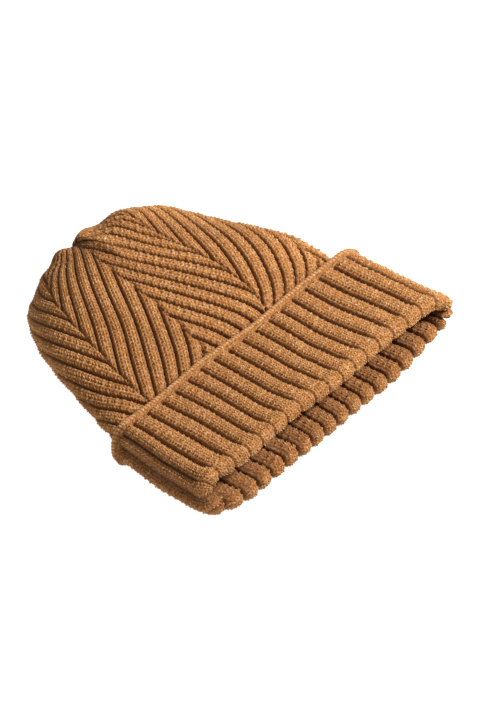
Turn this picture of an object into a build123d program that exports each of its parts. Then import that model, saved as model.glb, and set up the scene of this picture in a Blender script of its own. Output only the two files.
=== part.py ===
from build123d import *
import math
import os

# A cuffed rib-knit beanie lying flat. The crown points to -X, the mouth opens to +X, +Y runs
# across the cuff, away from its seamed side, +Z is up, and the origin is under the hat's middle.

# Driving dimensions, millimetres
WIDTH = 220.0             # across the turned-up cuff
LENGTH = 200.0            # lip to the far end of the crown
STACK = 30.0              # height of the flattened mouth: four layers and the gap between them
RIB_KNIT = 6.0            # thickness of one layer of the rib knit
CROWN_KNIT = 4.6          # thickness of the crown's knit
LAYER_GAP = 0.2           # clearance between two layers that lie on each other
CLEARANCE = 0.1           # between a piece of yarn and the knit beside it
CUFF_DEPTH = 82.0         # rim of the cuff to the front of the lip
RIM_DEPTH = 3.2           # tubular cast-on edge
RIM_INSET = 0.3           # the edge is a little thinner than the cuff
HEM_OVERLAP = 12.0        # how far the crown's knit runs on under the cuff
YARN_RADIUS = 1.0         # sewing and gathering yarn, drawn up
FURROW_RADIUS = 2.2       # furrow in the cuff that its seam sinks into
STITCH_RADIUS = 0.35      # thread of the label's tacks
GATHER_HOLE_RADIUS = 3.4  # pinhole left where the crown is drawn together
KNOT_RADIUS = 3.0
TAIL_LENGTH = 22.0        # each end of the gathering yarn
LABEL_LENGTH = 30.0
LABEL_WIDTH = 20.0
LABEL_THICKNESS = 0.5
LABEL_CORNER_RADIUS = 1.5
LABEL_OFFSET = (8.0, 6.0, 0.2)  # from the hem, the end of the mouth and the lower layer
TACK_COUNT = 5
TACK_INSET = 2.0          # row of tacks to the label's sewn end

# Places that follow from the driving dimensions
FRONT_X = LENGTH / 2
RIM_X = FRONT_X - CUFF_DEPTH
CUFF_X = RIM_X + RIM_DEPTH
MID_Z = STACK / 2
BAND_INSET = RIB_KNIT + LAYER_GAP
MOUTH_INSET = BAND_INSET + RIB_KNIT
LIP_DEPTH = MOUTH_INSET / 2
LIP_X = FRONT_X - LIP_DEPTH
HEM_X = RIM_X + HEM_OVERLAP
SEAM_WIDTH = 2 * YARN_RADIUS
BAND_X = HEM_X + SEAM_WIDTH / 2
CROWN_X = HEM_X - SEAM_WIDTH / 2

# The crown's sections from the hem to its far end: middle x, y, z, half width, half height, tilt
# in degrees towards the gather, exponent of the superellipse that rounds the section, and lean,
# the share by which the +Y side of the top stands higher.
NECK_SLACK = 0.5          # between the crown and the band above and below
NECK_SIDE_SLACK = 3.0     # and at each side
NECK_HALF_WIDTH = WIDTH / 2 - BAND_INSET - NECK_SIDE_SLACK
NECK_HALF_HEIGHT = MID_Z - BAND_INSET - NECK_SLACK
CROWN_STATIONS = [
    (CROWN_X, 0.0, MID_Z, NECK_HALF_WIDTH, NECK_HALF_HEIGHT, 0.0, 5.0, 0.0),
    (RIM_X, 0.0, MID_Z, NECK_HALF_WIDTH, NECK_HALF_HEIGHT, 0.0, 4.6, 0.0),
    (-10.0, 0.0, 19.0, 94.0, 18.0, 0.0, 3.0, 0.02),
    (-30.0, 0.0, 22.5, 88.0, 21.6, 0.0, 2.7, 0.03),
    (-52.0, 0.0, 25.0, 80.5, 24.1, 2.0, 2.5, 0.05),
    (-72.0, 0.0, 26.6, 71.0, 25.6, 5.0, 2.4, 0.08),
    (-87.5, 0.0, 27.8, 58.0, 24.4, 8.0, 2.4, 0.12),
    (-93.5, -2.0, 30.0, 42.0, 19.0, 12.0, 2.3, 0.12),
    (-97.0, -4.0, 34.0, 22.0, 10.5, 16.0, 2.2, 0.08),
    (-98.2, -5.0, 36.0, 12.0, 6.4, 18.0, 2.0, 0.0),
]
CROWN_TIP = (-98.8, -6.0, 37.5)
GATHER_AIM = ((-60.0, -7.0, 24.0), (-0.93, 0.0, 0.36))  # line from inside through the gather
SECTION_POINTS = 28
END_SHIFT = 0.7           # share of an inset by which the end sections move to the mouth
SPLIT_X = -62.0           # the closed end of the crown lies beyond this
SPLIT_SLOPE = 0.1         # rise of the line between upper and lower crown, towards the end
BEND_SHARE = 0.45         # share of a run that a bend in a piece of yarn may use
SEAM_STAND_OFF = 2.9      # middle of the crown's seam to its knit


def section_plane(x, y=0.0, z=0.0, tilt=0.0):
    """Plane across the hat, with its own x along +Y and its own y upwards."""
    lean_back = math.radians(tilt)
    normal = (math.cos(lean_back), 0, -math.sin(lean_back))
    return Plane(origin=(x, y, z), x_dir=(0, 1, 0), z_dir=normal)


def stadium(x, inset):
    """Flattened outline of the hat's mouth, drawn in from the outer layer by inset."""
    return section_plane(x, z=MID_Z) * SlotOverall(WIDTH - 2 * inset, STACK - 2 * inset)


def flat_tube(x_from, x_to, outer_inset, inner_inset):
    """One layer of knit, or several, running round the flattened mouth."""
    depth = x_to - x_from
    return extrude(stadium(x_from, outer_inset), depth) - extrude(stadium(x_from, inner_inset), depth)


def crown_section(station, inset):
    """Superellipse across the crown, drawn in by inset all round."""
    x, y, z, half_width, half_height, tilt, exponent, lean = station
    if station in CROWN_STATIONS[-3:]:
        x += inset * END_SHIFT
    points = []
    for step in range(SECTION_POINTS):
        angle = 2 * math.pi * step / SECTION_POINTS
        across = math.copysign(abs(math.cos(angle)) ** (2 / exponent), math.cos(angle))
        upward = math.copysign(abs(math.sin(angle)) ** (2 / exponent), math.sin(angle))
        raised = lean * half_width * across * (1 + upward) / 2
        points.append(((half_width - inset) * across, (half_height - inset) * upward + raised))
    return section_plane(x, y, z, tilt) * make_face(Spline(*points, periodic=True))


def crown_form(inset):
    """Solid form of the crown, drawn in by inset, from the hem to the far end."""
    sections = [crown_section(station, inset) for station in CROWN_STATIONS]
    tip_x, tip_y, tip_z = CROWN_TIP
    return loft(sections + [Vertex(tip_x + inset, tip_y, tip_z)])


def yarn_between(points, radius):
    """Round yarn along straight runs with bends as wide as they fit."""
    bends = []
    for before, corner, after in zip(points, points[1:], points[2:]):
        first = Vector(*corner) - Vector(*before)
        second = Vector(*after) - Vector(*corner)
        half_turn = math.radians(first.get_angle(second)) / 2
        bends.append(BEND_SHARE * min(first.length, second.length) / math.tan(half_turn))
    path = FilletPolyline(*points, radius=bends) if bends else Line(*points)
    start = Plane(origin=path @ 0, z_dir=path % 0)
    return sweep(start * Circle(radius), path=path)


def make_turned_cuff():
    """Outer layer of the band, turned up over the inner one, with a furrow for its seam."""
    cuff = flat_tube(CUFF_X, LIP_X, 0.0, RIB_KNIT)
    furrow_line = Plane(origin=(CUFF_X, -WIDTH / 2, MID_Z), z_dir=(1, 0, 0))
    return cuff - extrude(furrow_line * Circle(FURROW_RADIUS), LIP_X - CUFF_X)


def make_inner_band():
    """Inner layer of the band, next to the head."""
    return flat_tube(BAND_X, LIP_X, BAND_INSET, MOUTH_INSET)


def make_lip_fold():
    """Rolled lip where the band turns from the inner layer to the outer one."""
    ring = flat_tube(LIP_X, FRONT_X, 0.0, MOUTH_INSET)
    return fillet(ring.edges().group_by(Axis.X)[-1], LIP_DEPTH - CLEARANCE)


def make_cuff_rim():
    """Tubular cast-on edge that finishes the turned-up cuff."""
    ring = flat_tube(RIM_X, CUFF_X, RIM_INSET, RIB_KNIT)
    return fillet(ring.edges().group_by(Axis.X)[0], (RIB_KNIT - RIM_INSET) / 2 - CLEARANCE)


def make_linking_seam():
    """Course of linking stitches that joins the crown to the band, under the cuff."""
    return flat_tube(CROWN_X, BAND_X, BAND_INSET + NECK_SLACK, BAND_INSET + CROWN_KNIT)


def gather_frame(outer):
    """Plane on the crown's outer surface where its stitches are drawn together."""
    hits = outer.find_intersection_points(Axis(*GATHER_AIM))
    point, normal = max(hits, key=lambda hit: hit[0].Z)
    return Plane(origin=point, x_dir=(0, 1, 0), z_dir=normal)


def make_crown_pieces(outer, gather):
    """Hollow herringbone-knit crown in three zones: its upper and lower sides and its end."""
    shell = outer - crown_form(CROWN_KNIT)
    shell -= gather * Cylinder(GATHER_HOLE_RADIUS, 4 * CROWN_KNIT)
    beyond = Plane(origin=(SPLIT_X, 0, 0), z_dir=(-1, 0, 0))
    above = Plane(origin=(HEM_X, 0, MID_Z), z_dir=(SPLIT_SLOPE, 0, 1))
    end = split(shell, bisect_by=beyond, keep=Keep.TOP)
    sides = split(shell, bisect_by=beyond, keep=Keep.BOTTOM)
    return {
        "crown_upper": split(sides, bisect_by=above, keep=Keep.TOP),
        "crown_lower": split(sides, bisect_by=above, keep=Keep.BOTTOM),
        "crown_end": end,
    }


def make_gather_yarn(gather):
    """Drawn-up ring of yarn through the last round of stitches."""
    mid_wall = gather.offset(-CROWN_KNIT / 2)
    return mid_wall * Torus(GATHER_HOLE_RADIUS - YARN_RADIUS - CLEARANCE, YARN_RADIUS)


def make_gather_knot(gather):
    """Knot inside the crown that locks the gathering yarn, with its two ends."""
    knot_plane = gather.offset(-CROWN_KNIT - KNOT_RADIUS)
    reach = [(0.20, 0.05, -0.12), (0.36, 0.16, -0.30), (0.43, 0.32, -0.63)]
    tail = [(TAIL_LENGTH * across, TAIL_LENGTH * along, TAIL_LENGTH * up) for across, along, up in reach]
    mirrored = [(-across, along, up) for across, along, up in reversed(tail)]
    yarn = yarn_between(mirrored + [(0, 0, 0)] + tail, YARN_RADIUS)
    return knot_plane * (Sphere(KNOT_RADIUS) + yarn)


def make_crown_seam():
    """Sewn seam along the crown's -Y side, on the inside."""
    points = []
    for x, y, z, half_width, *_ in CROWN_STATIONS[1:6]:
        points.append((x, y - half_width + CROWN_KNIT + SEAM_STAND_OFF, z))
    return yarn_between(points, YARN_RADIUS)


def make_band_seam():
    """Sewn seam of the inner band, on the inside of its -Y end."""
    y = -WIDTH / 2 + MOUTH_INSET + YARN_RADIUS + CLEARANCE
    ends = [(BAND_X + YARN_RADIUS, y, MID_Z), (LIP_X - YARN_RADIUS, y, MID_Z)]
    return yarn_between(ends, YARN_RADIUS)


def make_cuff_seam():
    """Sewn seam of the turned-up cuff, sunk in its furrow."""
    y = -WIDTH / 2 + YARN_RADIUS + CLEARANCE
    ends = [(CUFF_X + YARN_RADIUS, y, MID_Z), (LIP_X - YARN_RADIUS, y, MID_Z)]
    return yarn_between(ends, YARN_RADIUS)


def label_corner():
    """Lowest corner of the care label, which lies on the lower layer beside the seam."""
    along, across, above = LABEL_OFFSET
    return (HEM_X + along, -WIDTH / 2 + MOUTH_INSET + across, MOUTH_INSET + above)


def make_care_label():
    """Blank woven label, sewn in by one end."""
    corner = label_corner()
    label = Box(
        LABEL_WIDTH, LABEL_LENGTH, LABEL_THICKNESS, align=(Align.MIN, Align.MIN, Align.MIN)
    )
    rounded = fillet(label.edges().filter_by(Axis.Z), LABEL_CORNER_RADIUS)
    return Pos(*corner) * rounded


def make_label_stitches():
    """Row of tacks that holds the label's sewn end."""
    x, y, z = label_corner()
    pitch = LABEL_WIDTH / TACK_COUNT
    tacks = []
    for step in range(TACK_COUNT):
        centre = (x + pitch * (step + 0.5), y + TACK_INSET, z + LABEL_THICKNESS + STITCH_RADIUS)
        lying = Plane(origin=centre, z_dir=(1, 0, 0))
        tacks.append(lying * Cylinder(STITCH_RADIUS, pitch * 0.6))
    return Compound(children=tacks)


outer_crown = crown_form(0.0)
gather_plane = gather_frame(outer_crown)
print("gather at", gather_plane.origin, "facing", gather_plane.z_dir)

nodes = make_crown_pieces(outer_crown, gather_plane)
nodes["inner_band"] = make_inner_band()
nodes["lip_fold"] = make_lip_fold()
nodes["turned_cuff"] = make_turned_cuff()
nodes["cuff_rim"] = make_cuff_rim()
nodes["linking_seam"] = make_linking_seam()
nodes["crown_seam"] = make_crown_seam()
nodes["band_seam"] = make_band_seam()
nodes["cuff_seam"] = make_cuff_seam()
nodes["gather_yarn"] = make_gather_yarn(gather_plane)
nodes["gather_knot"] = make_gather_knot(gather_plane)
nodes["care_label"] = make_care_label()
nodes["label_stitches"] = make_label_stitches()

os.makedirs("parts", exist_ok=True)
for name, shape in nodes.items():
    export_step(shape, f"parts/{name}.step")
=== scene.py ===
import math

import bmesh
import bpy
import numpy as np
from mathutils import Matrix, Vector


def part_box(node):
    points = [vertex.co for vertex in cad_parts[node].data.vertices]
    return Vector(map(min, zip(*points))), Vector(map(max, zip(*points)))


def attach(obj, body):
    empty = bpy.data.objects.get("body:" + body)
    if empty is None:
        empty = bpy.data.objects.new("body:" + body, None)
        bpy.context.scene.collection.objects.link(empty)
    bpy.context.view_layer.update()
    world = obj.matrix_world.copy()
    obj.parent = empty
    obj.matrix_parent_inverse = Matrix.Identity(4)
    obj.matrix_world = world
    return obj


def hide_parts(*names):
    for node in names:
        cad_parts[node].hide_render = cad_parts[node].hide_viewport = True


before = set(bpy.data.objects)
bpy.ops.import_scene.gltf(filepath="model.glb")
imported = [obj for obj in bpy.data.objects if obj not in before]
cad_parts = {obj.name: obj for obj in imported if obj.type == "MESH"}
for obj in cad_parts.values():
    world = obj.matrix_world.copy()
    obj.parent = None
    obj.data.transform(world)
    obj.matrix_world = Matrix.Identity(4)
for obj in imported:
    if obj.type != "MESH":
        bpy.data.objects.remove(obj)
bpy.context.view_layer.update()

MM = 0.001
rng = np.random.default_rng(7)   # roughness of the band; everything else seeds its own

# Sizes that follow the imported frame, millimetres
RIM_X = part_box("cuff_rim")[0][0] / MM
CUFF_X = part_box("cuff_rim")[1][0] / MM
FRONT_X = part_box("lip_fold")[1][0] / MM
HALF_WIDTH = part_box("lip_fold")[1][1] / MM
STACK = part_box("lip_fold")[1][2] / MM
BAND_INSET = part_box("inner_band")[0][2] / MM
MOUTH_INSET = 2 * BAND_INSET
BAND_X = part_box("inner_band")[0][0] / MM

# Knit of the band
RIB_COUNT = 40
RIB_COLUMNS = 27
RIB_DEPTH = 4.0           # valley below the top of a rib
WALES_PER_RIB = 3
ROW_PITCH = 2.3           # one row of stitches
STITCH_RELIEF = 1.8
LIP_SWELL = 0.6           # ribs swell where they turn over the lip
RIM_FADE = 3.5            # valleys end this far before the rim
SEAM_RIBS = 0.7           # width of the seam's furrow, in ribs
SEAM_FROM_END = 2.0       # middle of that furrow, in ribs before the end of the outline
FIRST_VALLEY_Y = -95.0
SWAY_LENGTH = 60.0        # length of the slow unevenness of the whole band
RIM_EDGE_DEPTH = 2.2      # half the depth of the cast-on edge
RIM_EDGE_STEPS = 26
RIM_STITCHES_PER_RIB = 5

# Corners of the mouth's outline as half-axes across and up: +Y top, +Y bottom, -Y bottom, -Y top
CORNERS = [(19.0, 14.0), (17.0, 14.0), (12.0, 13.5), (10.5, 13.5)]
SMALLEST_CORNER = 2.2

# How the flattened mouth really lies: by how much its parts stand back, up, out or in
UPPER_LIP_BACK = 10.0
UPPER_LIP_UP = 0.8
LEFT_LIP_BACK = 9.0
RIGHT_LIP_BACK = 2.0
RIGHT_LOWER_UP = 6.0
RIGHT_UPPER_UP = 2.8
RIGHT_SIDE_OUT = 5.2
LEFT_SIDE_OUT = 4.0

# Part of a rib's width that its columns of stitches start at and fill
WALES_START = 0.06
WALES_SHARE = 0.88

# Knit of the crown
PANELS = 8
PANEL_COLUMNS = 106
CROWN_ROWS = 320
PANEL_WIDTH = 53.0        # at the rim
RIBS_PER_PANEL = 5.0
RIBS_PER_MM = 0.053       # phase gained along a meridian
CROWN_WALES_PER_RIB = 2
CROWN_DEPTH = 3.3         # deepest valley
DEPTH_PER_PITCH = 0.32    # valleys get shallower where the ribs draw together
FULL_PITCH = 9.0          # stitches have their full relief on ribs this wide
CROWN_WALL = 4.6
INNER_ROW_STEP = 8        # the unseen inside has every eighth row

# Seam yarn
YARN_STEP = 0.5
YARN_SIDES = 20
CUFF_SEAM_INSET = 3.6
CUFF_SEAM_BACK = 27.5     # from the end of the outline back to the seam

# Rings of the crown from the hem to the gather: x, y, z of the middle, half width, half height,
# tilt in degrees, exponent of the superellipse, y of the front panel line, lean of the top to +Y
RINGS = np.array([
    (29.5, 0.0, 15.0, 101.0, 7.8, 0.0, 5.0, -18.0, 0.00),
    (18.0, 0.0, 15.0, 101.0, 8.0, 0.0, 4.6, -18.0, 0.01),
    (12.5, 0.2, 15.7, 100.8, 11.6, 0.0, 4.2, -17.8, 0.03),
    (5.0, 0.5, 17.1, 99.3, 15.2, 0.0, 3.6, -17.5, 0.05),
    (-10.0, 0.8, 19.6, 95.5, 19.2, 0.0, 3.0, -17.5, 0.08),
    (-30.0, 0.0, 22.6, 90.0, 21.9, 0.0, 2.7, -17.0, 0.05),
    (-52.0, -0.8, 24.5, 82.8, 23.8, 2.0, 2.5, -16.5, 0.01),
    (-72.0, -1.0, 26.1, 73.2, 25.0, 5.0, 2.4, -15.0, 0.02),
    (-87.5, -0.8, 27.4, 60.2, 24.6, 10.0, 2.4, -12.5, 0.09),
    (-96.5, -1.5, 30.0, 42.5, 19.0, 17.0, 2.3, -10.0, 0.13),
    (-99.5, -4.0, 34.0, 24.0, 11.0, 22.0, 2.2, -8.5, 0.08),
    (-97.8, -6.0, 38.0, 9.0, 4.5, 25.0, 2.0, -7.0, 0.00),
    (-94.0, -7.0, 39.5, 1.8, 1.2, 25.0, 2.0, -7.0, 0.00),
])
RING_SAMPLES = 720
MERIDIAN_SAMPLES = 400
GATHER = np.array((-94.0, -7.0, 40.0))
CREASE_END = np.array((-66.0, -8.0, 48.0))   # the crease runs here from the gather
CREASE_DEPTH = 5.5        # at the gather, less towards its end
CREASE_EASE = 4.5
RIDGE_MOVE = np.array((2.5, -5.5, 2.5))      # the ridge beside the crease leans over it

# Puffy folds around the gather: place, height and reach
LOBES = [
    ((-97.0, 2.0, 41.0), 7.0, 8.0),
    ((-90.0, 22.0, 46.0), 5.0, 15.0),
    ((-97.0, -19.0, 39.0), 6.0, 8.0),
    ((-94.0, -36.0, 36.0), 3.5, 10.0),
    ((-98.0, -26.0, 26.0), 1.0, 9.0),
    ((-90.0, -52.0, 22.0), 2.5, 10.0),
]

# Colours, linear
CREAM_FLECK = (0.86, 0.66, 0.46, 1)
SHEEN_TINT = (1.0, 0.74, 0.48, 1)
# Painted shade multiplied into the wool's colour: darker the deeper a point lies in a valley, gap or
# crease, and a little lighter (painted light) where it lies open
PAINTED_SHADE_STOPS = [
    (0.0, (1.08, 1.08, 1.08, 1)),
    (0.28, (0.80, 0.72, 0.62, 1)),
    (0.55, (0.42, 0.29, 0.18, 1)),
    (0.95, (0.11, 0.055, 0.022, 1)),
]

# Stage, metres and watts
FLOOR_REACH = 6.0
CAMERA_TARGET = Vector((0.0365, -0.016, 0.030))
CAMERA_AZIMUTH = math.radians(39.5)
CAMERA_ELEVATION = math.radians(39.9)
CAMERA_DISTANCE = 1.746
CAMERA_LENS = 150.85


# ---------- helpers ----------

def grid_mesh(name, points, attributes, close_rows):
    """Quad mesh over a grid that is closed across its columns, and along its rows if asked."""
    rows, columns = points.shape[:2]
    index = np.arange(rows * columns).reshape(rows, columns)
    across = np.roll(index, -1, axis=1)
    if close_rows:
        ahead, ahead_across = np.roll(index, -1, axis=0), np.roll(across, -1, axis=0)
        quads = np.stack([index, across, ahead_across, ahead], -1)
    else:
        quads = np.stack([index[:-1], across[:-1], across[1:], index[1:]], -1)
    quads = quads.reshape(-1, 4)
    mesh = bpy.data.meshes.new(name)
    mesh.vertices.add(rows * columns)
    mesh.vertices.foreach_set("co", (points * MM).reshape(-1).astype(np.float32))
    mesh.loops.add(quads.size)
    mesh.loops.foreach_set("vertex_index", quads.reshape(-1).astype(np.int32))
    mesh.polygons.add(len(quads))
    mesh.polygons.foreach_set("loop_start", np.arange(0, quads.size, 4, dtype=np.int32))
    mesh.polygons.foreach_set("loop_total", np.full(len(quads), 4, dtype=np.int32))
    mesh.update(calc_edges=True)
    for label, values in attributes.items():
        layer = mesh.attributes.new(label, "FLOAT", "POINT")
        layer.data.foreach_set("value", values.reshape(-1).astype(np.float32))
    mesh.polygons.foreach_set("use_smooth", np.ones(len(quads), dtype=bool))
    mesh.validate()
    piece = bpy.data.objects.new(name, mesh)
    bpy.context.collection.objects.link(piece)
    return piece


def close_ends(piece, rows, columns):
    """Caps the first and the last row of an open grid, each with one point in its middle."""
    mesh = piece.data
    shape = bmesh.new()
    shape.from_mesh(mesh)
    shape.verts.ensure_lookup_table()
    starts = (0, (rows - 1) * columns)
    rings = [[shape.verts[start + step] for step in range(columns)] for start in starts]
    for ring in rings:
        middle = shape.verts.new(sum((v.co for v in ring), Vector()) / columns)
        for a, b in zip(ring, ring[1:] + ring[:1]):
            shape.faces.new((a, b, middle)).smooth = True
    bmesh.ops.recalc_face_normals(shape, faces=shape.faces)
    shape.to_mesh(mesh)
    shape.free()


def finish_normals(piece):
    """Turns all faces outwards."""
    shape = bmesh.new()
    shape.from_mesh(piece.data)
    bmesh.ops.recalc_face_normals(shape, faces=shape.faces)
    shape.to_mesh(piece.data)
    shape.free()


def path_length(points):
    """Length along a row of points, from 0 at the first."""
    return np.concatenate([[0], np.cumsum(np.linalg.norm(np.diff(points, axis=0), axis=1))])


def smooth_step(low, high, value):
    """Eased share of the way from low to high, from 0 to 1."""
    share = np.clip((value - low) / (high - low), 0, 1)
    return share * share * (3 - 2 * share)


def rib_form(phase):
    """Round rib with a narrow valley at every whole phase, from 0 in the valley to 1."""
    side = np.abs(2 * (phase % 1.0) - 1)
    return np.clip(1 - side ** 2.6, 0, 1) ** 0.6


def stitches(wale, row):
    """Legs of the V stitches, from 0 between the yarns to 1 on them."""
    side = np.abs(2 * (wale % 1.0) - 1)
    leg = np.abs(np.sin(math.pi * side)) ** 0.7
    wave = 0.5 + 0.5 * np.cos(2 * math.pi * (row + 0.85 * side))
    return leg * (0.25 + 0.75 * wave)


def yarn_widths(wale, row, phase):
    """Uneven width of the yarn from stitch to stitch."""
    return 0.75 + 0.25 * np.sin(7.3 * np.floor(wale) + 2.9 * np.floor(row) + 11 * np.floor(phase))


def waves(u, v, scale, seed):
    """Slow seeded unevenness of about -1 to 1, periodic in u, which runs from 0 to 1."""
    draw = np.random.default_rng(seed)
    total = np.zeros(np.broadcast(u, v).shape)
    for component in range(7):
        turns = draw.integers(1, 9)
        total += draw.uniform(0.4, 1) * np.sin(2 * math.pi * (turns * u + draw.random())
                                               + v / scale * draw.uniform(0.5, 1.5))
    return total / 3.2


# ---------- band: cuff, lip and inner layer ----------

def quarter_arc(a, b):
    """Length of a quarter of an ellipse, nearly."""
    return math.pi / 2 * math.sqrt((a * a + b * b) / 2)


def band_segments():
    """Lengths of the mouth's outline: top, corner, side and so on, from the -Y end of the top."""
    (a1, b1), (a2, b2), (a3, b3), (a4, b4) = CORNERS
    width = 2 * HALF_WIDTH
    return [width - a4 - a1, quarter_arc(a1, b1), STACK - b1 - b2, quarter_arc(a2, b2),
            width - a2 - a3, quarter_arc(a3, b3), STACK - b3 - b4, quarter_arc(a4, b4)]


BAND_GIRTH = sum(band_segments())
FIRST_TRAVEL = FIRST_VALLEY_Y + HALF_WIDTH - CORNERS[3][0]


def outline(travel, inset):
    """Point on the mouth's outline, drawn in by inset, at a length along the outer outline."""
    lengths = band_segments()
    starts = np.concatenate([[0], np.cumsum(lengths)])
    travel = travel % starts[-1]
    segment = np.clip(np.searchsorted(starts, travel, side="right") - 1, 0, 7)
    share = (travel - starts[segment]) / np.maximum(np.array(lengths)[segment], 1e-9)
    radii = [(np.maximum(a - inset, SMALLEST_CORNER), np.maximum(b - inset, SMALLEST_CORNER))
             for a, b in CORNERS]
    left, right = -HALF_WIDTH + inset, HALF_WIDTH - inset
    low, high = inset, STACK - inset
    (a1, b1), (a2, b2), (a3, b3), (a4, b4) = radii
    turn = share * math.pi / 2
    sine, cosine = np.sin(turn), np.cos(turn)
    ys = [left + a4 + share * (right - a1 - left - a4), right - a1 + a1 * sine, right,
          right - a2 + a2 * cosine, right - a2 + share * (left + a3 - right + a2),
          left + a3 - a3 * sine, left, left + a4 - a4 * cosine]
    zs = [high, high - b1 + b1 * cosine, high - b1 + share * (low + b2 - high + b1),
          low + b2 - b2 * sine, low, low + b3 - b3 * cosine,
          low + b3 + share * (high - b4 - low - b3), high - b4 + b4 * sine]
    return np.choose(segment, ys), np.choose(segment, zs)


def settle(x, y, z):
    """How the flattened mouth really lies: its ends taper, curl up and stand a little uneven."""
    front = smooth_step(45.0, FRONT_X, x)
    low = 1 - smooth_step(4.0, 26.0, z)
    left = smooth_step(-70.0, -HALF_WIDTH, y)
    right = smooth_step(35.0, HALF_WIDTH, y)
    upper = smooth_step(11.0, 18.0, z) * smooth_step(48.0, FRONT_X, x)
    rise = (RIGHT_LOWER_UP * low * right * front + RIGHT_UPPER_UP * (1 - low) * right
            + UPPER_LIP_UP * upper)
    corner = smooth_step(88.0, HALF_WIDTH, np.abs(y))
    back = UPPER_LIP_BACK * upper * (1 - 0.45 * right) * (1 - 0.85 * corner)
    back = back + LEFT_LIP_BACK * left ** 2 * front ** 3 + RIGHT_LIP_BACK * right * front
    wide = smooth_step(25.0, 60.0, x) * (1 - smooth_step(85.0, FRONT_X + 6.0, x))
    return x - back, y + RIGHT_SIDE_OUT * right - LEFT_SIDE_OUT * left * wide, z + rise


def sway(u, length, x, z):
    """Slow unevenness of the whole band along x and z."""
    lift = np.sin(math.pi * np.clip(z / STACK, 0, 1))
    return (x + 0.9 * waves(u, 0.0, SWAY_LENGTH, 12),
            z + 0.5 * waves(u, length, SWAY_LENGTH, 11) * lift)


def run(start, end, pitch):
    """Evenly spaced points along a straight part of the band's profile, without the last one."""
    start, end = np.array(start), np.array(end)
    count = max(2, int(round(np.linalg.norm(end - start) / pitch)))
    return start + (end - start) * np.arange(count)[:, None] / count


def turn(middle, radii, from_deg, to_deg, count):
    """Points along an arc of the band's profile, without the last one."""
    angle = np.radians(from_deg + (to_deg - from_deg) * np.arange(count) / count)
    return np.stack([middle[0] + radii[0] * np.cos(angle),
                     middle[1] + radii[1] * np.sin(angle)], -1)


def make_band():
    """The band's knit as one closed layer: over the cuff, round the lip and back along the inside."""
    lip_radius = MOUTH_INSET / 2
    lip_x = FRONT_X - lip_radius
    wall = BAND_INSET - 0.3
    fold = lip_radius - wall
    cuff_x, hem_x = CUFF_X - 0.6, BAND_X + 1.5
    # The first three parts are the visible skin: cuff, lip and inside of the mouth
    parts = [
        run((cuff_x, 0.0), (lip_x, 0.0), 0.48),
        turn((lip_x, lip_radius), (lip_radius, lip_radius), -90, 90, 44),
        run((lip_x, MOUTH_INSET), (hem_x, MOUTH_INSET), 0.75),
        turn((hem_x, MOUTH_INSET - wall / 2), (1.5, wall / 2), 90, 270, 6),
        run((hem_x, MOUTH_INSET - wall), (lip_x, MOUTH_INSET - wall), 2.5),
        turn((lip_x, lip_radius), (fold + 0.1, fold + 0.01), 90, -90, 6),
        run((lip_x, wall), (cuff_x, wall), 2.5),
    ]
    kinds = np.concatenate([np.full(len(part), number) for number, part in enumerate(parts)])
    profile = np.concatenate(parts)
    rows = len(profile)
    columns = RIB_COUNT * RIB_COLUMNS
    ahead, behind = np.roll(profile, -1, axis=0), np.roll(profile, 1, axis=0)
    tangent = ahead - behind
    tangent /= np.linalg.norm(tangent, axis=1)[:, None]
    normal = np.stack([tangent[:, 1], -tangent[:, 0]], -1)
    length = path_length(profile)[:, None]
    skin = (kinds <= 2).astype(float)[:, None]

    u = (np.arange(columns) / columns)[None, :]
    phase = RIB_COUNT * u + 0.07 * waves(u, length, 14.0, 3)
    seam_phase = RIB_COUNT - SEAM_FROM_END
    near_seam = np.clip(np.abs(phase - seam_phase) / SEAM_RIBS, 0, 1)
    rib = rib_form(phase) * (0.15 + 0.85 * smooth_step(0, 1, near_seam))
    x = profile[:, :1]
    fade = smooth_step(CUFF_X + 0.4, CUFF_X + RIM_FADE, x)
    fade = np.where(kinds[:, None] == 0, fade, 1.0)
    lip = np.clip((x - (FRONT_X - 14)) / 12, 0, 1) * skin
    upper = smooth_step(12.0, 20.0, outline(FIRST_TRAVEL + u * BAND_GIRTH, 0.0)[1])
    rolled = smooth_step(FRONT_X - 15.0, FRONT_X - 7.0, x)
    rolled = rolled * smooth_step(13.0, 8.5, profile[:, 1:]) * skin
    rib = 1 - (1 - rib) * (1 - 0.85 * rolled * upper)   # valleys fade on the upper lip
    wale = WALES_PER_RIB * np.clip((phase % 1.0 - WALES_START) / WALES_SHARE, 0, 0.999)
    row = length / ROW_PITCH + 0.25 * waves(u, length, 9.0, 5)
    knit = stitches(wale, row) * yarn_widths(wale, row, phase)
    wobble = rng.normal(0, 1, (rows // 4 + 2, columns // 7 + 2))
    rough = wobble[np.arange(rows)[:, None] // 4, np.arange(columns)[None, :] // 7]
    below = RIB_DEPTH * (1 - rib) * fade + STITCH_RELIEF * (1 - knit) * (0.6 + 0.4 * rib)
    below += 0.9 * (1 - fade) + 0.08 * rough
    below -= LIP_SWELL * lip * rib ** 2 * (1 - 0.6 * upper)
    below += 0.35 * skin * waves(u, length, 5.0, 8)
    below *= skin
    inset = profile[:, 1:] + below * -normal[:, 1:]
    along = x + below * -normal[:, :1]
    y, z = outline(np.broadcast_to(FIRST_TRAVEL + u * BAND_GIRTH, inset.shape), inset)
    along, z = sway(u, length, along, z)
    along = along + 0.2 * smooth_step(20, 0, x - RIM_X)
    points = np.stack(settle(along, y, z), -1)
    # Painted shade: darker colour in the valleys, between the yarns and inside the mouth; the unseen
    # layers get a middle value
    inside = smooth_step(MOUTH_INSET - 4.0, MOUTH_INSET, profile[:, 1:]) * skin
    painted_shade = np.clip(0.65 * (1 - rib) * fade + 0.55 * (1 - knit) + 0.22 * inside, 0, 1)
    painted_shade = painted_shade * skin + 0.5 * (1 - skin)
    piece = grid_mesh("band_knit", points, {"painted_shade": painted_shade}, True)
    finish_normals(piece)
    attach(piece, "root")
    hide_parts("turned_cuff", "lip_fold", "inner_band")
    return piece


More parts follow.
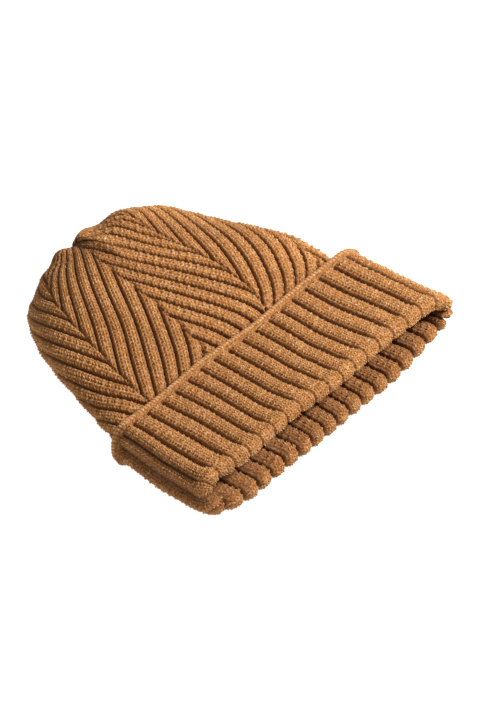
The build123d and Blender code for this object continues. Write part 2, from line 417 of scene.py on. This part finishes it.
def make_rim():
    """Tubular cast-on edge, a bead of lighter, tighter stitches."""
    columns = RIB_COUNT * RIB_COLUMNS
    angle = 2 * math.pi * np.arange(RIM_EDGE_STEPS) / RIM_EDGE_STEPS
    depth, height = RIM_EDGE_DEPTH, (BAND_INSET - 0.6) / 2
    middle = height + 0.35
    cosine, sine = np.cos(angle), np.sin(angle)
    u = (np.arange(columns) / columns)[None, :]
    stitch = u * RIB_COUNT * RIM_STITCHES_PER_RIB + angle[:, None] / (2 * math.pi)
    twist = np.abs(np.sin(math.pi * stitch)) ** 0.7
    swell = 1 + 0.22 * (twist - 0.5)
    x = RIM_X + depth + 0.1 + depth * cosine[:, None] * swell
    across = np.sign(sine) * np.abs(sine) ** 0.8
    inset = middle - height * across[:, None] * swell
    y, z = outline(np.broadcast_to(FIRST_TRAVEL + u * BAND_GIRTH, inset.shape), inset)
    x, z = sway(u, 0.0, x, z)
    # Painted shade between the stitches of the edge, and a little over the whole edge to tone down
    # its lit top
    painted_shade = 0.12 + 0.55 * (1 - twist)
    piece = grid_mesh("cuff_rim_edge", np.stack(settle(x, y, z), -1), {"painted_shade": painted_shade}, True)
    finish_normals(piece)
    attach(piece, "root")
    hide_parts("cuff_rim")
    return piece


def make_yarn(name, path, radius, replaced):
    """Sewing yarn of two twisted plies along a path, for a seam."""
    travel = path_length(path)
    rows = max(8, int(travel[-1] / YARN_STEP))
    places = np.linspace(0, travel[-1], rows)
    line = np.stack([np.interp(places, travel, path[:, k]) for k in range(3)], -1)
    tangent = np.gradient(line, axis=0)
    tangent /= np.linalg.norm(tangent, axis=1)[:, None]
    side = np.cross(tangent, (0.0, 0.0, 1.0))
    side /= np.linalg.norm(side, axis=1)[:, None]
    rise = np.cross(side, tangent)
    angle = 2 * math.pi * np.arange(YARN_SIDES) / YARN_SIDES
    twist = np.abs(np.cos(angle[None, :] + places[:, None] * 1.7))
    reach = radius * (0.62 + 0.38 * twist)
    wander = 0.35 * np.sin(places * 1.4)[:, None]
    sideways = reach[..., None] * np.cos(angle)[None, :, None] * side[:, None, :]
    upwards = (reach * np.sin(angle)[None, :] + wander * radius)[..., None] * rise[:, None, :]
    points = line[:, None, :] + sideways + upwards
    # Painted shade between the two plies
    piece = grid_mesh(name, points, {"painted_shade": 0.7 * (1 - twist)}, False)
    close_ends(piece, rows, YARN_SIDES)
    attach(piece, "root")
    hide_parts(replaced)
    return piece


def seam_run(node_name):
    """Even steps in x along a seam of the frame, and the middle of its box."""
    low, high = (np.array(corner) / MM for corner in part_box(node_name))
    return np.linspace(low[0] + 1.5, high[0] - 9.0, 40), (low + high) / 2


def make_band_seams():
    """Seams of the cuff, in its furrow, and of the inner band, on the side at -Y."""
    x = seam_run("cuff_seam")[0]
    travel = np.full_like(x, BAND_GIRTH - CUFF_SEAM_BACK)
    y, z = outline(travel, np.full_like(x, CUFF_SEAM_INSET))
    outer = make_yarn("cuff_seam_yarn", np.stack(settle(x, y, z), -1), 1.0, "cuff_seam")
    x, middle = seam_run("band_seam")
    path = np.stack([x, np.full_like(x, middle[1] + 1.5), np.full_like(x, middle[2])], -1)
    inner = make_yarn("band_seam_yarn", path, 0.9, "band_seam")
    return [outer, inner]


# ---------- crown ----------

def between_rings(knots):
    """Cubic run through the table of rings at knot numbers."""
    last = len(RINGS) - 1
    knots = np.clip(knots, 0, last - 1e-9)
    number = knots.astype(int)
    share = (knots - number)[:, None]
    start, end = RINGS[number], RINGS[number + 1]
    slope_start = (end - RINGS[np.maximum(number - 1, 0)]) / 2
    slope_end = (RINGS[np.minimum(number + 2, last)] - start) / 2
    return ((2 * share ** 3 - 3 * share ** 2 + 1) * start
            + (share ** 3 - 2 * share ** 2 + share) * slope_start
            + (3 * share ** 2 - 2 * share ** 3) * end + (share ** 3 - share ** 2) * slope_end)


def ring_points(ring, count):
    """Points at even spacing round one ring, from the front panel line towards +Y on the top."""
    x, y, z, half_width, half_height, tilt, exponent, line_y, lean = ring
    angle = -np.linspace(0, 2 * math.pi, RING_SAMPLES)
    cosine, sine = np.cos(angle), np.sin(angle)
    across = half_width * np.sign(cosine) * np.abs(cosine) ** (2 / exponent)
    up = half_height * np.sign(sine) * np.abs(sine) ** (2 / exponent)
    up = up + lean * across * (up + half_height) / (2 * half_height)
    tilt = math.radians(tilt)
    dense = np.stack([x + up * math.sin(tilt), y + across, z + up * math.cos(tilt)], -1)
    travel = path_length(dense)
    rising = np.where((dense[:-1, 1] < line_y) & (dense[1:, 1] >= line_y))[0]
    best = max(rising, key=lambda k: dense[k, 2])
    share = (line_y - dense[best, 1]) / (dense[best + 1, 1] - dense[best, 1])
    start = travel[best] + share * (travel[best + 1] - travel[best])
    places = (start + travel[-1] * np.arange(count) / count) % travel[-1]
    return np.stack([np.interp(places, travel, dense[:, k]) for k in range(3)], -1)


def crown_surface(rows, columns):
    """Plain surface of the crown as a grid of points, its rows evenly spaced."""
    fine_knots = np.linspace(0, len(RINGS) - 1, MERIDIAN_SAMPLES)
    fine = between_rings(fine_knots)
    x, z, half_height, tilt = fine[:, 0], fine[:, 2], fine[:, 4], np.radians(fine[:, 5])
    top = np.stack([x + half_height * np.sin(tilt), z + half_height * np.cos(tilt)], -1)
    low = np.stack([x - half_height * np.sin(tilt), z - half_height * np.cos(tilt)], -1)
    steps = [np.linalg.norm(np.diff(line, axis=0), axis=1) for line in (top, low)]
    travel = np.concatenate([[0], np.cumsum((steps[0] + steps[1]) / 2)])
    knots = np.interp(np.linspace(0, travel[-1], rows), travel, fine_knots)
    return np.stack([ring_points(ring, columns) for ring in between_rings(knots)])


def grid_normals(points):
    """Outward unit normals of a grid that is closed across its columns."""
    across = np.roll(points, -2, axis=1) - np.roll(points, 2, axis=1)
    along = np.gradient(points, axis=0)
    normal = np.cross(across, along)
    normal /= np.maximum(np.linalg.norm(normal, axis=2, keepdims=True), 1e-9)
    middle = points.mean(axis=1, keepdims=True)
    outward = np.sum(normal * (points - middle), axis=2).mean()
    return normal if outward > 0 else -normal


def shape_folds(points, normal):
    """Folds and the crease around the gather: the moved points, and how deep in shade they lie."""
    push = np.zeros(points.shape[:2])
    for place, height, reach in LOBES:
        apart = np.linalg.norm(points - np.array(place), axis=2)
        push += height * np.exp(-(apart / reach) ** 2)
    line = CREASE_END - GATHER
    share = np.clip(((points - GATHER) @ line) / (line @ line), 0, 1)
    apart = np.linalg.norm(points - (GATHER + share[..., None] * line), axis=2)
    crease = np.exp(-(apart / (2.6 + 1.2 * share)) ** 2)
    push -= (CREASE_DEPTH - CREASE_EASE * share) * crease
    beside = points[..., 1] - (GATHER[1] + share * line[1])
    near = np.exp(-(np.abs(apart - np.abs(beside)) / 7.0) ** 2) * (1 - 0.75 * share)
    ridge = near * np.exp(-((beside - 5.5) / 4.5) ** 2)
    moved = points + push[..., None] * normal
    moved += ridge[..., None] * RIDGE_MOVE
    shade = (0.9 - 0.5 * share) * np.exp(-((beside + 1.5) / 3.2) ** 2) * near
    return moved, shade


def make_crown():
    """The crown's herringbone knit as one closed layer."""
    rows, columns = CROWN_ROWS, PANELS * PANEL_COLUMNS
    plain = crown_surface(rows, columns)
    formed, shade = shape_folds(plain, grid_normals(plain))
    normal = grid_normals(formed)
    x_top = plain[:, 0, 0]
    travel = np.linalg.norm(np.diff(plain, axis=0), axis=2)
    meridian = np.concatenate([np.zeros((1, columns)), np.cumsum(travel, axis=0)])
    rim_row = int(np.argmin(np.abs(x_top[: rows // 2] - RIM_X)))
    along = meridian - meridian[rim_row]
    girth = np.linalg.norm(np.roll(plain, -1, axis=1) - plain, axis=2).sum(axis=1)[:, None]
    u = PANELS * np.arange(columns)[None, :] / columns
    saw = 1 - np.abs(1 - u % 2)
    panel = np.floor(u) % 2
    bend = 0.16 * waves(u / PANELS, along, 14.0, 21)
    phase = RIBS_PER_PANEL * saw + RIBS_PER_MM * along + 0.5 * panel + bend
    ribs_across = RIBS_PER_PANEL / PANEL_WIDTH
    steep = math.hypot(ribs_across, RIBS_PER_MM)
    thread = (ribs_across * along - RIBS_PER_MM * (PANEL_WIDTH * saw)) / steep / ROW_PITCH
    width = girth / PANELS
    pitch = 1 / np.hypot(RIBS_PER_PANEL / np.maximum(width, 1), RIBS_PER_MM)
    depth = np.clip(DEPTH_PER_PITCH * pitch, 0.2, CROWN_DEPTH)
    edge = width * np.minimum(u % 1, 1 - u % 1)
    end = 0.6 + 0.4 * smooth_step(0.0, 1.6, edge + 0.8 * np.sin(2 * math.pi * phase))
    puff = 1 + 0.12 * waves(u / PANELS, along, 12.0, 31)
    rib = np.clip(rib_form(phase) * end * puff, 0, 1.12)
    wale = CROWN_WALES_PER_RIB * np.clip((phase % 1 - WALES_START) / WALES_SHARE, 0, 0.999)
    knit = stitches(wale, thread) * yarn_widths(wale, thread, phase)
    relief = STITCH_RELIEF * np.clip(pitch / FULL_PITCH, 0.1, 1)
    below = depth * (1 - rib) + relief * (1 - knit)
    outer = formed - below[..., None] * normal
    # Painted shade in the valleys, between the yarns and under the ridge along the crease; the unseen
    # inside gets a middle value
    painted_shade = np.clip(0.65 * (1 - rib) + 0.55 * (1 - knit) + shade, 0, 1)
    inner = (plain - CROWN_WALL * grid_normals(plain))[::-INNER_ROW_STEP][:-1]
    points = np.concatenate([outer, inner])
    painted_shade = np.concatenate([painted_shade, np.full(inner.shape[:2], 0.5)])
    points[..., 2] = np.maximum(points[..., 2], 0.05)   # flat where it rests
    piece = grid_mesh("crown_knit", points, {"painted_shade": painted_shade}, True)
    finish_normals(piece)
    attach(piece, "root")
    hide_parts("crown_upper", "crown_lower", "crown_end")
    return piece


# ---------- materials ----------

def node(tree, kind, settings=(), **inputs):
    """Adds a shader node with settings and input values."""
    made = tree.nodes.new(kind)
    for key, value in dict(settings).items():
        setattr(made, key, value)
    for key, value in inputs.items():
        made.inputs[key.replace("_", " ")].default_value = value
    return made


def ramp(tree, stops):
    """Adds a colour ramp through the stops, each a place and a colour."""
    made = tree.nodes.new("ShaderNodeValToRGB")
    elements = made.color_ramp.elements
    for element, (place, colour) in ((elements[0], stops[0]), (elements[1], stops[-1])):
        element.position, element.color = place, colour
    for place, colour in stops[1:-1]:
        elements.new(place).color = colour
    return made


def wool(name, dark, middle, light):
    """Melange wool: mixed fibres, cream and brown flecks, painted shade in the valleys and a soft
    sheen.
    """
    material = bpy.data.materials.new(name)
    material.use_nodes = True
    tree = material.node_tree
    shader = tree.nodes["Principled BSDF"]
    shader.inputs["Roughness"].default_value = 0.92
    shader.inputs["Specular IOR Level"].default_value = 0.2
    shader.inputs["Sheen Weight"].default_value = 0.18
    shader.inputs["Sheen Roughness"].default_value = 0.5
    shader.inputs["Sheen Tint"].default_value = SHEEN_TINT
    place = node(tree, "ShaderNodeTexCoord")
    link = tree.links.new
    melange = node(tree, "ShaderNodeTexNoise",
                   Scale=620.0, Detail=5.0, Roughness=0.75, Distortion=0.8)
    fibres = node(tree, "ShaderNodeTexNoise", Scale=2600.0, Detail=3.0, Roughness=0.6)
    broad = node(tree, "ShaderNodeTexNoise", Scale=45.0, Detail=2.0)
    for texture in (melange, fibres, broad):
        link(place.outputs["Object"], texture.inputs["Vector"])
    tone = ramp(tree, [(0.36, dark), (0.50, middle), (0.65, light)])
    mixed = node(tree, "ShaderNodeMix", {"data_type": "FLOAT"})
    mixed.inputs[0].default_value = 0.35
    link(melange.outputs["Fac"], mixed.inputs[2])
    link(fibres.outputs["Fac"], mixed.inputs[3])
    link(mixed.outputs[0], tone.inputs["Fac"])
    flecks = node(tree, "ShaderNodeTexNoise",
                  Scale=520.0, Detail=3.0, Roughness=0.6, Distortion=2.0)
    link(place.outputs["Object"], flecks.inputs["Vector"])
    where = ramp(tree, [(0.57, (0, 0, 0, 1)), (0.66, (0.8, 0.8, 0.8, 1))])
    link(flecks.outputs["Fac"], where.inputs["Fac"])
    flecked = node(tree, "ShaderNodeMix", {"data_type": "RGBA"})
    flecked.inputs[7].default_value = CREAM_FLECK
    link(where.outputs["Color"], flecked.inputs[0])
    link(tone.outputs["Color"], flecked.inputs[6])
    # Painted shade: the mesh's shade values are turned by the ramp into darker colour in valleys,
    # gaps and creases and multiplied in
    painted_shade = node(tree, "ShaderNodeAttribute", {"attribute_name": "painted_shade"})
    shade = ramp(tree, PAINTED_SHADE_STOPS)
    link(painted_shade.outputs["Fac"], shade.inputs["Fac"])
    deep = node(tree, "ShaderNodeMix", {"data_type": "RGBA", "blend_type": "MULTIPLY"})
    deep.inputs[0].default_value = 0.85
    link(flecked.outputs[2], deep.inputs[6])
    link(shade.outputs["Color"], deep.inputs[7])
    link(deep.outputs[2], shader.inputs["Base Color"])
    bump = node(tree, "ShaderNodeBump", Strength=0.35, Distance=0.0006)
    link(mixed.outputs[0], bump.inputs["Height"])
    link(bump.outputs["Normal"], shader.inputs["Normal"])
    return material


def cloth(name, colour, pitch):
    """Plain woven tape or thread."""
    material = bpy.data.materials.new(name)
    material.use_nodes = True
    tree = material.node_tree
    shader = tree.nodes["Principled BSDF"]
    shader.inputs["Roughness"].default_value = 0.6
    shader.inputs["Sheen Weight"].default_value = 0.2
    place = node(tree, "ShaderNodeTexCoord")
    weave = node(tree, "ShaderNodeTexChecker", Scale=pitch)
    weave.inputs["Color1"].default_value = colour
    weave.inputs["Color2"].default_value = tuple(0.86 * part for part in colour[:3]) + (1,)
    tree.links.new(place.outputs["Object"], weave.inputs["Vector"])
    tree.links.new(weave.outputs["Color"], shader.inputs["Base Color"])
    bump = node(tree, "ShaderNodeBump", Strength=0.3, Distance=0.0002)
    tree.links.new(weave.outputs["Fac"], bump.inputs["Height"])
    tree.links.new(bump.outputs["Normal"], shader.inputs["Normal"])
    return material


def dress(piece, material):
    """Gives a piece one material."""
    piece.data.materials.clear()
    piece.data.materials.append(material)


# ---------- stage ----------

def make_floor():
    """White floor that fades into the background."""
    mesh = bpy.data.meshes.new("floor")
    corners = [(-1, -1), (1, -1), (1, 1), (-1, 1)]
    mesh.from_pydata([(x * FLOOR_REACH, y * FLOOR_REACH, 0) for x, y in corners], [], [(0, 1, 2, 3)])
    floor = bpy.data.objects.new("floor", mesh)
    bpy.context.collection.objects.link(floor)
    white = bpy.data.materials.new("floor_white")
    white.use_nodes = True
    shader = white.node_tree.nodes["Principled BSDF"]
    shader.inputs["Base Color"].default_value = (0.25, 0.25, 0.25, 1)
    shader.inputs["Roughness"].default_value = 1.0
    shader.inputs["Specular IOR Level"].default_value = 0.0
    shader.inputs["Emission Color"].default_value = (1, 1, 1, 1)
    shader.inputs["Emission Strength"].default_value = 0.95
    floor.data.materials.append(white)


def make_world():
    """Soft even light, and plain white where the camera looks past the floor."""
    world = bpy.data.worlds.new("studio")
    bpy.context.scene.world = world
    world.use_nodes = True
    sky = world.node_tree
    sky.nodes["Background"].inputs["Color"].default_value = (1, 1, 1, 1)
    path = sky.nodes.new("ShaderNodeLightPath")
    strength = sky.nodes.new("ShaderNodeMapRange")
    strength.inputs["To Min"].default_value = 0.38
    strength.inputs["To Max"].default_value = 1.0
    sky.links.new(path.outputs["Is Camera Ray"], strength.inputs["Value"])
    sky.links.new(strength.outputs["Result"], sky.nodes["Background"].inputs["Strength"])


def make_camera():
    """The photo's camera. Returns the directions back to it and to its right."""
    back = Vector((math.sin(CAMERA_AZIMUTH) * math.cos(CAMERA_ELEVATION),
                   -math.cos(CAMERA_AZIMUTH) * math.cos(CAMERA_ELEVATION),
                   math.sin(CAMERA_ELEVATION)))
    lens = bpy.data.cameras.new("camera")
    lens.lens = CAMERA_LENS
    camera = bpy.data.objects.new("camera", lens)
    bpy.context.collection.objects.link(camera)
    camera.location = CAMERA_TARGET + CAMERA_DISTANCE * back
    camera.rotation_euler = back.to_track_quat("Z", "Y").to_euler()
    bpy.context.scene.camera = camera
    return back, Vector((math.cos(CAMERA_AZIMUTH), math.sin(CAMERA_AZIMUTH), 0))


def make_lights(back, right):
    """Key light from the upper right and a weak fill from the left."""
    for name, offset, power, size in (
        ("key", right * 0.9 - back * 0.25 + Vector((0, 0, 0.95)), 27.0, 0.30),
        ("fill", -right * 0.9 + back * 0.9 + Vector((0, 0, 0.7)), 3.0, 1.2),
    ):
        lamp = bpy.data.lights.new(name, "AREA")
        lamp.energy = power
        lamp.size = size
        light = bpy.data.objects.new(name, lamp)
        bpy.context.collection.objects.link(light)
        light.location = CAMERA_TARGET + offset
        light.rotation_euler = offset.to_track_quat("Z", "Y").to_euler()


make_floor()
make_world()
make_lights(*make_camera())
bpy.context.scene.view_settings.view_transform = "Standard"

band = make_band()
band_seams = make_band_seams()
rim = make_rim()
crown = make_crown()

camel = wool("camel_melange",
             (0.13, 0.045, 0.009, 1), (0.47, 0.205, 0.053, 1), (0.88, 0.54, 0.25, 1))
camel_rim = wool("camel_edge", (0.24, 0.10, 0.03, 1), (0.48, 0.22, 0.07, 1), (0.76, 0.45, 0.21, 1))
yarn = wool("camel_yarn", (0.22, 0.10, 0.035, 1), (0.45, 0.22, 0.08, 1), (0.74, 0.50, 0.28, 1))
dress(band, camel)
dress(crown, camel)
dress(rim, camel_rim)
for seam in band_seams:
    dress(seam, yarn)
for name in ("linking_seam", "crown_seam", "gather_yarn", "gather_knot"):
    dress(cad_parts[name], yarn)
dress(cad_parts["care_label"], cloth("label_tape", (0.80, 0.76, 0.68, 1), 2400.0))
dress(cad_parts["label_stitches"], cloth("label_sewing", (0.62, 0.55, 0.44, 1), 5000.0))
